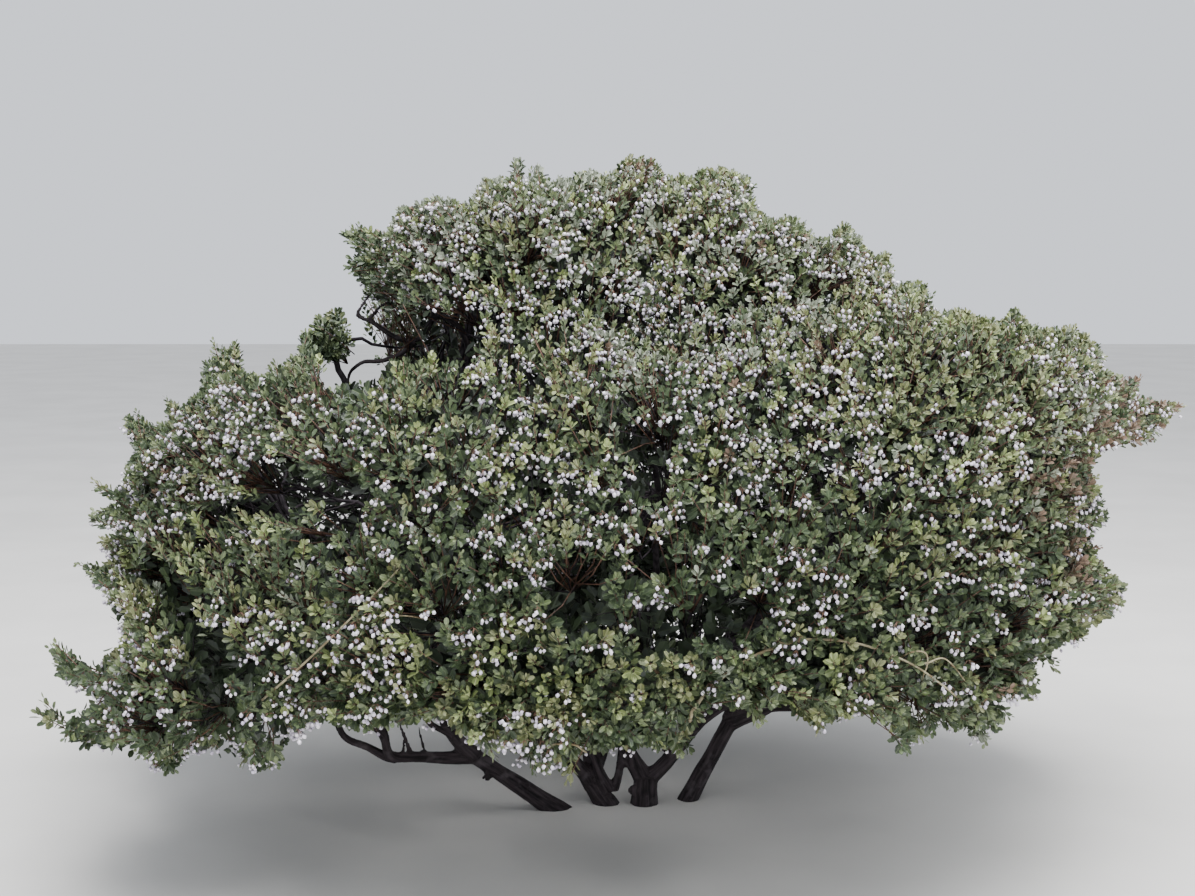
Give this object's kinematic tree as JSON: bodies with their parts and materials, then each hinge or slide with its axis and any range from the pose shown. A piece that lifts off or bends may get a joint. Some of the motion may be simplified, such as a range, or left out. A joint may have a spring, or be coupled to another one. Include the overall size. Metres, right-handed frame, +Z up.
{
  "type": "flowering manzanita shrub",
  "caption": "Wide, low evergreen shrub: dark crooked stems from one root crown, fanning boughs and a dense dome of small leaves hung with white blossom.",
  "frame": {"origin": "middle of the flat cut under the main stem, at ground level", "axes": "+Z up, +X to the right of the picture along the crown's longest side, -Y toward the viewer"},
  "size_m": [2.0286, 1.6149, 1.2079],
  "materials": {
    "bark": "matt, near-black, fissured lengthwise",
    "foliage": "leathery leaves with a soft sheen"
  },
  "bodies": {
    "root": {"stem_left": "bark", "stem_inner": "bark", "stem_main": "bark", "stem_right": "bark", "bough_skirt_6": "bark", "bough_shoulder_5": "bark", "bough_shoulder_6": "bark", "bough_shoulder_4": "bark", "bough_shoulder_3": "bark", "bough_shoulder_7": "bark", "bough_shoulder_8": "bark", "bough_shoulder_1": "bark", "bough_shoulder_2": "bark", "bough_skirt_1": "bark", "bough_skirt_2": "bark", "bough_skirt_3": "bark", "bough_skirt_4": "bark", "bough_skirt_5": "bark", "bough_skirt_7": "bark", "bough_skirt_8": "bark", "bough_skirt_9": "bark", "bough_brow_1": "bark", "bough_brow_2": "bark", "bough_brow_3": "bark", "bough_brow_4": "bark", "bough_brow_5": "bark", "bough_brow_6": "bark", "bough_cap": "bark", "bough_clump": "bark", "bough_toe": "bark", "bough_apron": "bark", "bough_spur": "bark", "foliage_skirt_1": "foliage", "foliage_skirt_2": "foliage", "foliage_skirt_3": "foliage", "foliage_skirt_4": "foliage", "foliage_skirt_5": "foliage", "foliage_skirt_6": "foliage", "foliage_skirt_7": "foliage", "foliage_skirt_8": "foliage", "foliage_skirt_9": "foliage", "foliage_shoulder_1": "foliage", "foliage_shoulder_2": "foliage", "foliage_shoulder_3": "foliage", "foliage_shoulder_4": "foliage", "foliage_shoulder_5": "foliage", "foliage_shoulder_6": "foliage", "foliage_shoulder_7": "foliage", "foliage_shoulder_8": "foliage", "foliage_brow_1": "foliage", "foliage_brow_2": "foliage", "foliage_brow_3": "foliage", "foliage_brow_4": "foliage", "foliage_brow_5": "foliage", "foliage_brow_6": "foliage", "foliage_cap": "foliage", "foliage_clump": "foliage", "foliage_toe": "foliage", "foliage_apron": "foliage", "foliage_spur": "foliage"}
  },
  "joints": []
}
